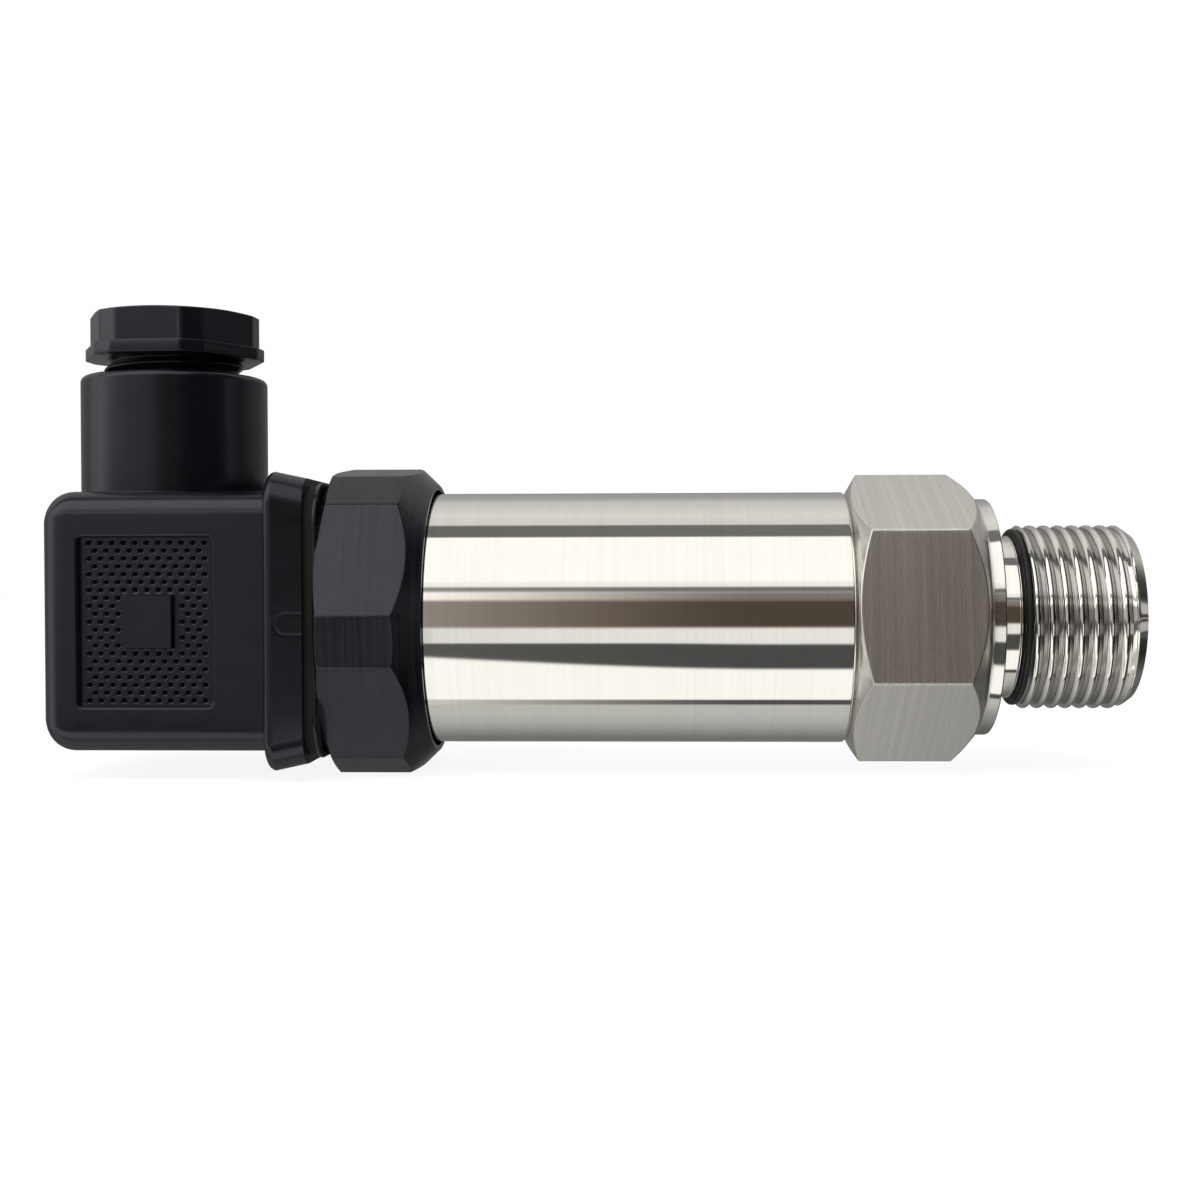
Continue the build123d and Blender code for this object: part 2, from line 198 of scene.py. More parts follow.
class Finish(Shader):
    """A material on one Principled shader; constants go straight on its sockets."""

    def __init__(self, name, **sockets):
        self.material = bpy.data.materials.new(name)
        self.material.use_nodes = True
        super().__init__(self.material.node_tree)
        self.surface = self.tree.nodes["Principled BSDF"]
        for socket, value in sockets.items():
            self.set(socket.replace("_", " "), value)

    def set(self, socket, value):
        self.feed(self.surface.inputs[socket], value)
        return self

    def on(self, *objects):
        """Puts this finish on each object in place of what it had."""
        for thing in objects:
            thing.data.materials.clear()
            thing.data.materials.append(self.material)
        return self


def light_of(colour, strength=1.0):
    """A colour written as sRGB 0 to 255, as linear light with alpha."""
    share = np.array(colour) / 255.0
    linear = np.where(share <= 0.04045, share / 12.92, ((share + 0.055) / 1.055) ** 2.4)
    return (*(float(v) * strength for v in linear), 1.0)


# Elevations are degrees about the sensor's axis: 0 is towards the camera, 90 is up, 180 is behind.
# The room is a list of (elevation, light); the cards lie over it, each over the one before.
ROOM = [
    (-180, 0.20), (-150, 0.16), (-90, 0.50), (98, 0.66),
    (108, 0.70), (128, 0.58), (148, 0.34), (180, 0.20),
]
ALL_ALONG = -2.0
STEEL_SIDE = -0.155
START_EDGE = 0.015
CARDS = [
    # from, to, edge, lean, light at the plug's end, light at the thread's end, where it starts along X
    (33, 79.5, 3, 0, 1.55, 1.55, ALL_ALONG),  # the key softbox, close to the plug
    (33, 79.5, 3, 0, 1.05, 1.05, STEEL_SIDE),  # and farther from the steel
    (28.5, 34, 3, 0, 0.95, 0.90, ALL_ALONG),  # its fading lower edge
    (79.5, 94.5, 2, 0, 0.13, 0.16, ALL_ALONG),  # a dark flag over it
    (-55, -20, 12, 0, 1.1, 1.0, ALL_ALONG),  # the fill softbox
    (-79.5, -20, 4, 0, 1.0, 1.0, STEEL_SIDE),  # and the pale table under it
    (-84.5, -78.5, 2, 0, 1.00, 0.07, ALL_ALONG),  # the table's edge
    (-26, -2, 4, -20, 0.12, 0.07, ALL_ALONG),  # the camera's stand
    (-21.5, -7.5, 2, 0, 0.70, 0.82, STEEL_SIDE),  # a gap of bright room over the stand
    (24.5, 29, 2, 0, 0.34, 0.16, ALL_ALONG),  # the frame of the key softbox
    (16, 24.5, 4, 0, 1.60, 0.20, ALL_ALONG),  # the room behind the camera
    (-7.5, 17, 4, 0, 0.42, 0.07, ALL_ALONG),  # the camera and its operator
]
WARM_CARD = (1.0, 0.78, 0.60)
WHITE_CARD = (252, 251, 246)
STEEL_TINT = 0.86
ROOM_WHITE = (250, 250, 250)
ROOM_LIGHT = 0.62
PLUG_END = -0.32
THREAD_END_VIEW = 0.07
# Cards at the two ends, and the reach of the warm light. A pair is where a share begins and where it
# is full, as the part of a direction along X, or along Y for FRONT; the last three are in degrees.
FRONT = (0.6, 0.1)
RIGHT_CARD = (0.3, 0.5)
RIGHT_END = (0.99, 0.965)
RIGHT_END_SHARE = 0.6
CARD_AT_RIGHT = 0.93
LEFT_BOX = (-0.93, -0.98)
BOX_AT_LEFT = 0.55
LOW_RIGHT = (0.12, 0.2)
LOW_RIGHT_SHADE = 0.35
LOW_RIGHT_TURN = (-88.0, -110.0)
WARM_FOOT = (-9.0, -6.0)
WARM_TOP = (25.0, 14.0)


def surroundings():
    """World colour: white to the camera, the cards to gloss, an even room to the rest."""
    world = bpy.data.worlds.new("studio")
    bpy.context.scene.world = world
    world.use_nodes = True
    world.cycles.sampling_method = "NONE"
    sky = Shader(world.node_tree)
    facing = sky.out(sky.node("ShaderNodeTexCoord"), "Generated")
    parts = sky.node("ShaderNodeSeparateXYZ", {}, {0: facing})
    across, depth = sky.out(parts, "X"), sky.out(parts, "Y")
    turn = sky.math("ARCTAN2", sky.out(parts, "Z"), 0.0 - depth) * (180 / np.pi)
    to_thread = sky.span(across, PLUG_END, THREAD_END_VIEW)
    light = ROOM[0][1]
    for (low, _), (high, level) in zip(ROOM, ROOM[1:]):
        share = sky.span(turn, low, high)
        light = share * level + (1.0 - share) * light
    for low, high, edge, lean, plug_light, thread_light, start in CARDS:
        place = turn - to_thread * lean
        inside = sky.span(place, low - edge / 2, low + edge / 2)
        inside = inside * sky.span(place, high + edge / 2, high - edge / 2)
        if start > ALL_ALONG:
            inside = inside * sky.span(across, start - START_EDGE, start + START_EDGE)
        level = to_thread * (thread_light - plug_light) + plug_light
        light = inside * level + (1.0 - inside) * light
    right_card = sky.span(across, *RIGHT_CARD) * sky.span(across, *RIGHT_END, RIGHT_END_SHARE, 1.0)
    right_card = right_card * sky.span(depth, *FRONT) * CARD_AT_RIGHT
    left_box = sky.span(across, *LEFT_BOX) * BOX_AT_LEFT
    low_right = sky.span(across, *LOW_RIGHT) * sky.span(turn, *LOW_RIGHT_TURN) * LOW_RIGHT_SHADE
    light = light * (1.0 - right_card) * (1.0 - left_box) * (1.0 - low_right) + left_box
    warm = sky.span(turn, *WARM_FOOT) * sky.span(turn, *WARM_TOP) * to_thread
    white_light = light_of(WHITE_CARD, 1 / STEEL_TINT)
    warm_light = (*(part / STEEL_TINT for part in WARM_CARD), 1.0)
    tint = sky.blend(warm, white_light, warm_light)
    cards = sky.out(sky.node("ShaderNodeVectorMath", {"operation": "SCALE"}, {0: tint, "Scale": light}))
    path = sky.node("ShaderNodeLightPath")
    gloss = sky.blend(sky.out(path, "Is Glossy Ray"), light_of(ROOM_WHITE, ROOM_LIGHT), cards)
    shown = sky.blend(sky.out(path, "Is Camera Ray"), gloss, (1.0, 1.0, 1.0, 1.0))
    back = world.node_tree.nodes["Background"]
    sky.feed(back.inputs["Color"], shown)
    back.inputs["Strength"].default_value = 1.0


surroundings()


def softbox(name, place, aim, size, power, colour):
    """A rectangular lamp at place that faces aim, all in millimetres."""
    lamp = bpy.data.lights.new(name, "AREA")
    lamp.shape = "RECTANGLE"
    lamp.size, lamp.size_y = size[0] * MM, size[1] * MM
    lamp.energy = power
    lamp.color = colour
    made = bpy.data.objects.new(name, lamp)
    bpy.context.scene.collection.objects.link(made)
    back = np.array(place, float) - np.array(aim, float)
    back /= np.linalg.norm(back)
    side = np.cross((0.0, 0.0, 1.0), back)
    side /= np.linalg.norm(side)
    put(made, side, np.cross(back, side), back, place)
    made.visible_camera = False
    made.visible_glossy = False


softbox(
    "top_softbox",
    place=(-60, -260, 380), aim=(-45, 0, 0), size=(420, 260), power=1.6, colour=(1.0, 0.99, 0.97),
)
softbox(
    "side_softbox",
    place=(-330, -170, 120), aim=(-60, 0, 0), size=(240, 300), power=0.5, colour=(1.0, 1.0, 1.0),
)

FLOOR_HALF = 1.5
FLOOR_GLOW = 1.12
FLOOR_SHARE = 0.8


def pale_floor():
    """A flat sweep under the lowest edge; it looks white and keeps the object's shadow."""
    low = float(cad_low[2])
    mesh = bpy.data.meshes.new("sweep")
    corners = [(x * FLOOR_HALF, y * FLOOR_HALF, low) for x, y in ((-1, -1), (1, -1), (1, 1), (-1, 1))]
    mesh.from_pydata(corners, [], [(0, 1, 2, 3)])
    sweep = bpy.data.objects.new("sweep", mesh)
    bpy.context.scene.collection.objects.link(sweep)
    sweep.visible_glossy = False
    paint = Finish("sweep_paint", Base_Color=(0.8, 0.8, 0.79, 1.0), Roughness=0.9)
    glow = paint.node("ShaderNodeEmission", {}, {"Color": (1.0, 1.0, 1.0, 1.0), "Strength": FLOOR_GLOW})
    seen = paint.out(paint.node("ShaderNodeLightPath"), "Is Camera Ray")
    both = paint.node("ShaderNodeMixShader", {}, {
        0: seen * FLOOR_SHARE,
        1: paint.out(paint.surface),
        2: paint.out(glow),
    })
    output = paint.tree.nodes["Material Output"]
    paint.feed(output.inputs["Surface"], paint.out(both))
    paint.on(sweep)


pale_floor()

# Process connection
# One bar of stainless steel: a hexagon for the spanner, a polished collar ring, a neck and an
# M20 x 1.5 thread with the pressure port through it. Turned, with the flats milled and brushed.
THREAD_START = 3.33
THREAD_PHASE = -0.33
THREAD_SOFT = 0.38
THREAD_END = 15.05
THREAD_BREAK = 1.25
THREAD_BREAK_LEAN = 0.7
THREAD_CREST = 9.85
THREAD_DEPTH = 0.68
THREAD_PITCH = 1.5
THREAD_FLAT = 0.42
THREAD_ROOT = 0.05
THREAD_FIRST = 0.3
THREAD_FIRST_LEAN = 3.0
NECK = 8.6
PORT = 3.0
PORT_BREAK = 0.8
RING_BACK = -1.3
RING_RADIUS = 12.7
RING_BREAK = 0.08
UNDERCUT = 0.42
UNDERCUT_DEPTH = 0.6
LIP_BACK = 2.26
LIP = 0.24
LIP_RISE = 0.14
HEX_STEP = 0.3
HEX_BACK = -15.15
HEX_HALF = 13.5
HEX_FACE = 12.75
HEX_CORNERS = 23.9
HEX_BACK_LEAN = np.tan(np.radians(30.0))
HEX_FRONT_LEAN = np.tan(np.radians(40.0))
CELL_BORE = 9.55
CELL_BORE_END = -4.0
SPIGOT = 12.25
SPIGOT_END = -20.0


def columns(count, corners=()):
    """Angles of a ring's columns in radians: count even ones, and seven more at and beside each corner,
    which is given in degrees."""
    reach = np.radians(1.6)
    near = reach * np.array([-1.0, -0.5, -0.2, 0.0, 0.2, 0.5, 1.0])
    extra = [np.radians(corner) + near for corner in corners]
    every = np.concatenate([2 * np.pi * np.arange(count) / count, *extra]) % (2 * np.pi)
    return np.unique(np.round(every, 5))


def flat_sided(angles, sides, soft=0.05):
    """Radius of an outline with flat sides: each side gives half / cos(angle - facing), and the least
    of them is taken as -soft ln(sum exp(-radius / soft)), which rounds the corners."""
    radii = []
    for half, facing in sides:
        lean = np.cos(angles - np.radians(facing))
        radii.append(half / np.maximum(lean, 0.2))
    radii = np.stack(radii)
    least = radii.min(0)
    return least - soft * np.log(np.exp((least - radii) / soft).sum(0))


def round_square(angles, half, corner):
    """Radius of a square with round corners: half / cos(a) on a side and
    k (cos a + sin a) + sqrt(corner^2 - k^2 (cos a - sin a)^2) on a corner, with k = half - corner."""
    folded = np.abs((angles + np.pi / 4) % (np.pi / 2) - np.pi / 4)
    across, rise = np.cos(folded), np.sin(folded)
    k = half - corner
    inside = np.maximum(corner**2 - k**2 * (across - rise) ** 2, 0.0)
    return np.where(half * rise <= k * across, half / across, k * (across + rise) + np.sqrt(inside))


def on_columns(corners, angles):
    """A profile's (station, radius) corners with one station and one radius on every column."""
    return np.stack([
        np.stack(np.broadcast_arrays(station, radius, angles)[:2], -1) for station, radius in corners
    ]).astype(float)


def eased(corners, angles, soft=0.12, steps=3):
    """A profile of (station, radius) corners on every column, with each inner corner b rounded to
    (1-t)^2 a + 2t(1-t) b + t^2 c, where a and c lie up to soft millimetres away on its two sides."""
    path = on_columns(corners, angles)
    rows = [path[0]]
    for before, corner, after in zip(path, path[1:], path[2:]):
        ends = []
        for other in (before, after):
            leg = other - corner
            length = np.linalg.norm(leg, axis=-1, keepdims=True)
            ends.append(corner + leg * np.minimum(soft, 0.4 * length) / np.maximum(length, 1e-9))
        for t in np.linspace(0.0, 1.0, steps + 1):
            rows.append((1 - t) ** 2 * ends[0] + 2 * t * (1 - t) * corner + t**2 * ends[1])
    rows.append(path[-1])
    return np.stack(rows)


def about_x(profile, angles):
    """Carries a profile round the long axis: x = station, y = radius cos(angle), z = radius sin(angle)."""
    station, radius = profile[..., 0], profile[..., 1]
    return np.stack([station, radius * np.cos(angles), radius * np.sin(angles)], -1) * MM


def thread_rows(angles, start, stop, crest, depth, pitch, flat, root_flat, phase=0.0, soft=0.1):
    """Rows of a right-hand screw thread that climb one pitch a turn: the station is the row's own
    place in the pitch + phase + pitch angle / 2 pi, held between start and stop. Also gives the rows
    a pitch."""
    flank = (pitch - flat - root_flat) / 2
    one = eased(
        [
            (-flat / 2 - flank, crest - depth),
            (-flat / 2, crest),
            (flat / 2, crest),
            (flat / 2 + flank, crest - depth),
            (flat / 2 + flank + root_flat, crest - depth),
            (pitch + flat / 2, crest),
        ],
        np.zeros(1), soft=soft,
    )[1:-1, 0]
    turns = int(np.ceil((stop - start) / pitch)) + 4
    place = (one[:, 0] + pitch * np.arange(turns)[:, None]).ravel() - 2 * pitch
    climb = phase + pitch * angles / (2 * np.pi)
    station = np.clip(start + place[:, None] + climb, start, stop)
    inside = (station - start - climb) % pitch
    radius = np.interp(inside, one[:, 0], one[:, 1], period=pitch)
    return np.stack([station, radius], -1), len(one)


def skin(name, *sheets, soft_angle=40.0):
    """A closed mesh from sheets of points: rows along the profile, columns round the axis. A sheet
    with a slip joins its last column to its first that many rows up, as a thread does."""
    points, faces, start = [], [], 0
    for sheet, slip in sheets:
        rows, count = sheet.shape[:2]
        index = start + np.arange(rows * count).reshape(rows, count)
        inner = np.stack([index[:-1, :-1], index[1:, :-1], index[1:, 1:], index[:-1, 1:]], -1)
        last = rows - 1 - slip
        seam = np.stack([
            index[:last, -1], index[1:last + 1, -1],
            index[slip + 1:slip + last + 1, 0], index[slip:slip + last, 0],
        ], -1)
        points.append(sheet.reshape(-1, 3))
        faces += [inner.reshape(-1, 4), seam]
        start += rows * count
    mesh = bpy.data.meshes.new(name)
    mesh.from_pydata(np.concatenate(points), [], np.concatenate(faces).tolist())
    weld = MM * 0.0002
    work = bmesh.new()
    work.from_mesh(mesh)
    bmesh.ops.remove_doubles(work, verts=work.verts, dist=weld)
    bmesh.ops.dissolve_degenerate(work, edges=work.edges, dist=weld)
    bmesh.ops.recalc_face_normals(work, faces=work.faces)
    work.to_mesh(mesh)
    work.free()
    piece = bpy.data.objects.new(name, mesh)
    bpy.context.scene.collection.objects.link(piece)
    return smoothed(piece, soft_angle)


def smoothed(piece, soft_angle):
    """The piece, smooth where faces meet at less than soft_angle and creased elsewhere."""
    piece.data.shade_smooth()
    piece.data.set_sharp_from_angle(angle=np.radians(soft_angle))
    smooth = piece.modifiers.new("weighted", "WEIGHTED_NORMAL")
    smooth.keep_sharp = True
    return piece


def stand_for(piece, body, slot, *nodes):
    """The piece rides on body and stands for those CAD nodes, which are hidden; slot is not used."""
    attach(piece, body)
    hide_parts(*nodes)


def process_connection():
    """The back of the hexagon, the thread and the nose as three sheets round the long axis."""
    corners = HEX_CORNERS + 60.0 * np.arange(6)
    angles = columns(240, corners)
    hexagon = flat_sided(angles, [(HEX_HALF, corner + 30.0) for corner in corners])
    back = eased([
        (CELL_BORE_END, CELL_BORE),
        (SPIGOT_END, CELL_BORE),
        (SPIGOT_END, SPIGOT),
        (HEX_BACK, SPIGOT),
        (HEX_BACK, HEX_FACE),
        (HEX_BACK + (hexagon - HEX_FACE) * HEX_BACK_LEAN, hexagon),
        (RING_BACK - (hexagon - RING_RADIUS) * HEX_FRONT_LEAN, hexagon),
        (RING_BACK - HEX_STEP * HEX_FRONT_LEAN, RING_RADIUS + HEX_STEP),
        (RING_BACK - HEX_STEP * HEX_FRONT_LEAN, RING_RADIUS),
        (-RING_BREAK, RING_RADIUS),
        (0.0, RING_RADIUS - RING_BREAK),
        (0.0, NECK - UNDERCUT_DEPTH),
        (UNDERCUT, NECK - UNDERCUT_DEPTH),
        (UNDERCUT, NECK),
        (LIP_BACK, NECK),
        (LIP_BACK + LIP / 4, NECK + LIP_RISE),
        (LIP_BACK + LIP * 3 / 4, NECK + LIP_RISE),
        (LIP_BACK + LIP, NECK),
        (THREAD_START, NECK),
    ], angles)
    rows, slip = thread_rows(
        angles, THREAD_START, THREAD_END, THREAD_CREST, THREAD_DEPTH, THREAD_PITCH, THREAD_FLAT,
        THREAD_ROOT, THREAD_PHASE, THREAD_SOFT,
    )
    station = rows[..., 0]
    lead_in = THREAD_CREST - THREAD_FIRST + THREAD_FIRST_LEAN * (station - THREAD_START)
    nose_break = THREAD_CREST - THREAD_BREAK_LEAN * (station - THREAD_END + THREAD_BREAK)
    rows[..., 1] = np.minimum(rows[..., 1], np.minimum(lead_in, nose_break))
    nose = eased([
        (THREAD_END, rows[-1, :, 1]),
        (THREAD_END, PORT + PORT_BREAK),
        (THREAD_END - PORT_BREAK, PORT),
        (CELL_BORE_END, PORT),
        (CELL_BORE_END, CELL_BORE),
    ], angles)
    step = np.stack([back[-1], rows[0]])
    return skin(
        "process_connection_turned",
        (about_x(back, angles), 0),
        (about_x(step, angles), 0),
        (about_x(rows, angles), slip),
        (about_x(nose, angles), 0),
    )


connection = process_connection()
stand_for(connection, "sensor_body", "steel_process", "process_connection")


BRUSHED_TONE = 0.86
# Painted shade in the thread's roots: how dark their colour is made, and how much of it is laid on.
ROOT_SHADE_TONE = 0.22
ROOT_SHADE_SHARE = 0.75


def turned_steel(name, colour, dull, polish, hexagon):
    """Steel with fine turning marks round the axis. With a hexagon, that is brushed across and duller,
    and the roots of the thread are painted darker, as painted shade in their grooves."""
    steel = Finish(name, Metallic=1.0)
    marks = steel.noise(steel.place((3400.0, 30.0, 30.0)), 3.0, 0.6)
    streaks = steel.noise(steel.place((1500.0, 18.0, 18.0)), 3.0, 0.6)
    smear = steel.noise(steel.place((220.0, 220.0, 220.0)), 3.0)
    tone = streaks * 0.5 + marks * 0.3 + smear * 0.2
    rough = polish + streaks * 0.02 + smear * 0.01
    height = marks * 0.3
    worn = (*(part * 0.9 for part in colour), 1.0)
    paint = steel.blend(steel.span(tone, 0.2, 0.8), (*colour, 1.0), worn)
    if hexagon:
        parts = steel.node("ShaderNodeSeparateXYZ", {}, {0: steel.place((1000.0, 1000.0, 1000.0))})
        along, across, rise = (steel.out(parts, axis) for axis in "XYZ")
        satin = steel.span(along, HEX_BACK - 0.3, HEX_BACK) * steel.span(along, RING_BACK + 0.1, RING_BACK)
        brush = steel.noise(steel.place((4600.0, 45.0, 45.0)), 3.0, 0.6)
        lines = steel.span(brush * 0.45 + streaks * 0.55, 0.36, 0.64)
        paint = steel.blend(satin * lines, paint, (*(part * BRUSHED_TONE for part in colour), 1.0))
        rough = rough + satin * (dull - polish + (brush - 0.5) * 0.14)
        height = height + satin * brush * 0.4
        radius = (across * across + rise * rise) ** 0.5
        # Painted shade: the colour in the thread's roots is darkened to stand in for the shade in its
        # grooves.
        root_shade = steel.span(radius, THREAD_CREST - 0.12, THREAD_CREST - THREAD_DEPTH * 0.8)
        root_shade = root_shade * steel.span(along, THREAD_START, THREAD_START + 0.1)
        root_shade = root_shade * steel.span(along, THREAD_END - THREAD_BREAK, THREAD_END - THREAD_BREAK - 0.8)
        paint = steel.blend(root_shade * ROOT_SHADE_SHARE, paint, (*(part * ROOT_SHADE_TONE for part in colour), 1.0))
        rough = rough + root_shade * 0.12
    steel.set("Base Color", paint)
    steel.set("Roughness", rough)
    steel.set("Normal", steel.bump(height, 0.0000012))
    return steel


hexagon_steel = turned_steel(
    "brushed_hexagon_steel", colour=(0.88, 0.86, 0.83), dull=0.25, polish=0.05, hexagon=True
)
hexagon_steel.on(connection)

# Neck seal
# An O-ring of black nitrile rubber, pushed along the neck against the start of the thread. It seals
# the sensor in its port; moulded, with a soft sheen.
SEAL_BACK = 2.67
SEAL_FRONT = 3.32
SEAL_TOP = 9.50
SEAL_POWER = 0.7


def neck_seal():
    """A squeezed ring: its section is a superellipse, with |cos| and |sin| to the power SEAL_POWER."""
    angles = columns(200)
    around = np.linspace(0.0, 2 * np.pi, 29)[:, None] + 0 * angles
    across, rise = np.cos(around), np.sin(around)
    half_wide, half_high = (SEAL_FRONT - SEAL_BACK) / 2, (SEAL_TOP - NECK) / 2
    station = (SEAL_BACK + SEAL_FRONT) / 2 + half_wide * np.sign(across) * np.abs(across) ** SEAL_POWER
    radius = (NECK + SEAL_TOP) / 2 + half_high * np.sign(rise) * np.abs(rise) ** SEAL_POWER
    section = np.stack([station, radius], -1)
    return skin("neck_seal_squeezed", (about_x(section, angles), 0), soft_angle=80.0)


seal = neck_seal()
stand_for(seal, "sensor_body", "nitrile", "neck_seal_ring")
rubber = Finish("nitrile_black", Base_Color=light_of((16, 16, 17)), Roughness=0.5)
dust = rubber.noise(rubber.place((2500.0, 2500.0, 2500.0)), 4.0)
rubber.set("Roughness", dust * 0.25 + 0.35)
rubber.set("Normal", rubber.bump(dust, 0.00001))
rubber.on(seal, node["base_seal_ring"], node["cell_seal_ring"])

# Body tube
# A stainless tube, turned bright, pushed over the spigots of the process connection and the
# connector base and welded to the first.
TUBE_BACK = -63.0
TUBE = 13.5
TUBE_BORE = 12.3
TUBE_BREAK = 0.2


def body_tube():
    """A closed tube profile round the long axis."""
    angles = columns(320)
    profile = eased([
        (TUBE_BACK, TUBE_BORE),
        (TUBE_BACK, TUBE - TUBE_BREAK),
        (TUBE_BACK + TUBE_BREAK, TUBE),
        (HEX_BACK - TUBE_BREAK, TUBE),
        (HEX_BACK, TUBE - TUBE_BREAK),
        (HEX_BACK, TUBE_BORE),
        (TUBE_BACK, TUBE_BORE),
    ], angles, soft=0.08)
    return skin("body_tube_turned", (about_x(profile, angles), 0))


tube = body_tube()
stand_for(tube, "sensor_body", "steel_tube", "body_tube")
tube_steel = turned_steel(
    "bright_tube_steel", colour=(0.87, 0.86, 0.83), dull=0.2, polish=0.04, hexagon=False
)
tube_steel.on(tube)

# Pressure cell and its lead
# A welded steel capsule with a thin diaphragm, held by a ring; its signal leaves on a flat film lead.
cell_steel = turned_steel("cell_steel", colour=(0.74, 0.73, 0.71), dull=0.3, polish=0.2, hexagon=False)
cell_steel.on(node["sensor_cell"], node["cell_retaining_ring"])
film = Finish("flex_film", Base_Color=light_of((176, 110, 40)), Roughness=0.35)
film.set("Roughness", film.noise(film.place((700.0, 700.0, 700.0))) * 0.2 + 0.3)
film.on(node["cell_flex_cable"])

# Connector base
# Black glass-filled nylon, moulded: a hexagon with cut corners whose groove takes the tube's end, a
# square flange for the gasket, a boss that carries the blades, and a spigot held in the tube.
BASE_BACK = -69.6
BASE_MOUTH = -58.9
BASE_HALF = 15.88
BASE_CORNER_HALF = 16.82
BASE_CORNERS = 6.73
BASE_BACK_LEAN = np.tan(np.radians(25.0))
BASE_FRONT_LEAN = np.tan(np.radians(46.0))
RIM = 14.45
GROOVE = 13.9
FLANGE_BACK = -70.0
FLANGE_HALF = 14.2
FLANGE_CORNER = 4.5
BOSS_BACK = -73.0
BOSS_HALF = 11.0
BOSS_CORNER = 1.5
SCREW_HOLE = 1.75
INSERT_BACK = -71.8
INSERT = 2.8
WEB = -65.95
HOLLOW = 10.6
BASE_SPIGOT_END = -55.5
BASE_SEAL_BACK = -57.7
BASE_SEAL_FRONT = -56.3
BASE_SEAL = 11.35


def cut_corners(angles, half, corner_half, turn):
    """Radius of a hexagon with flats half from its axis, whose corners, one of them at turn, are cut
    off at corner_half."""
    corners = turn + 60.0 * np.arange(6)
    sides = [(half, corner + 30.0) for corner in corners] + [(corner_half, corner) for corner in corners]
    return flat_sided(angles, sides)


def cut_places(half, corner_half, turn):
    """The twelve angles in degrees at which such an outline turns."""
    reach = np.degrees(np.arctan((half / corner_half - np.cos(np.pi / 6)) / np.sin(np.pi / 6)))
    return np.concatenate([turn + 60.0 * np.arange(6) + side * reach for side in (-1, 1)])


def connector_base():
    """One closed profile round the long axis: insert hole, boss, flange, hexagon, groove and spigot."""
    angles = columns(300, cut_places(BASE_HALF, BASE_CORNER_HALF, BASE_CORNERS))
    hexagon = cut_corners(angles, BASE_HALF, BASE_CORNER_HALF, BASE_CORNERS)
    boss = round_square(angles, BOSS_HALF, BOSS_CORNER)
    flange = round_square(angles, FLANGE_HALF, FLANGE_CORNER)
    profile = eased([
        (WEB, INSERT),
        (INSERT_BACK, INSERT),
        (INSERT_BACK, SCREW_HOLE),
        (BOSS_BACK, SCREW_HOLE),
        (BOSS_BACK, boss),
        (FLANGE_BACK, boss),
        (FLANGE_BACK, flange),
        (BASE_BACK, flange),
        (BASE_BACK, BASE_HALF),
        (BASE_BACK + (hexagon - BASE_HALF) * BASE_BACK_LEAN, hexagon),
        (BASE_MOUTH - (hexagon - RIM) * BASE_FRONT_LEAN, hexagon),
        (BASE_MOUTH, RIM),
        (BASE_MOUTH, GROOVE),
        (TUBE_BACK, GROOVE),
        (TUBE_BACK, SPIGOT),
        (BASE_SEAL_BACK, SPIGOT),
        (BASE_SEAL_BACK, BASE_SEAL),
        (BASE_SEAL_FRONT, BASE_SEAL),
        (BASE_SEAL_FRONT, SPIGOT),
        (BASE_SPIGOT_END, SPIGOT),
        (BASE_SPIGOT_END, HOLLOW),
        (WEB, HOLLOW),
        (WEB, INSERT),
    ], angles)
    return skin("connector_base_moulded", (about_x(profile, angles), 0))


base = connector_base()
stand_for(base, "sensor_body", "plastic_base", "connector_base")


def black_plastic(name, colour, sheen, drawn, flow, shine=0.56, fade=4):
    """Black moulding: a fine spark grain, soft patches of gloss, and faint drawn lines, fade levels
    paler, that run along the axes on which flow is small."""
    plastic = Finish(name, Specular_IOR_Level=shine, Specular_Tint=(0.79, 0.84, 1.0, 1.0))
    grain = plastic.noise(plastic.place((7000.0, 7000.0, 7000.0)), 2.0)
    patches = plastic.noise(plastic.place((160.0, 160.0, 160.0)), 4.0)
    lines = plastic.noise(plastic.place(flow), 3.0, 0.6)
    dark = light_of(colour)
    pale = light_of(tuple(level + fade for level in colour))
    plastic.set("Base Color", plastic.blend(plastic.span(patches * 0.4 + lines * 0.6, 0.3, 0.7), dark, pale))
    plastic.set("Roughness", sheen + patches * 0.1 + lines * 0.08)
    plastic.set("Normal", plastic.bump(grain * 0.4 + lines * drawn, 0.000004))
    return plastic


base_plastic = black_plastic(
    "base_plastic", (4, 5, 7), sheen=0.12, drawn=2.5, flow=(2000.0, 60.0, 60.0), shine=0.52, fade=18
)
base_plastic.on(base)

# Screw insert, contacts and board
# Brass insert for the fixing screw; tinned brass blades moulded into the boss; the round board that is
# soldered to their tails, with its chips.
def plated(name, colour, rough):
    """Bare or plated metal with small scratches."""
    metal = Finish(name, Metallic=1.0)
    scratch = metal.noise(metal.place((3000.0, 300.0, 300.0)), 4.0)
    worn = (*(part * 0.86 for part in colour), 1.0)
    metal.set("Base Color", metal.blend(scratch, (*colour, 1.0), worn))
    metal.set("Roughness", scratch * 0.15 + rough)
    metal.set("Normal", metal.bump(scratch, 0.000004))
    return metal


plated("brass", (0.80, 0.62, 0.33), 0.22).on(node["screw_insert"])
tin = plated("contact_tin", (0.78, 0.77, 0.74), 0.26)
tin.on(*(node[name] for name in node if name.startswith("contact_")))
laminate = Finish("board_laminate", Base_Color=light_of((28, 74, 46)), Roughness=0.4)
weave = laminate.noise(laminate.place((2200.0, 2200.0, 2200.0)))
laminate.set("Base Color", laminate.blend(weave, light_of((24, 66, 40)), light_of((36, 88, 56))))
laminate.on(node["amplifier_board"])
chip_plastic = black_plastic("chip_plastic", (20, 20, 22), sheen=0.45, drawn=0.1, flow=(900.0, 900.0, 900.0))
chip_plastic.on(node["board_chips"])

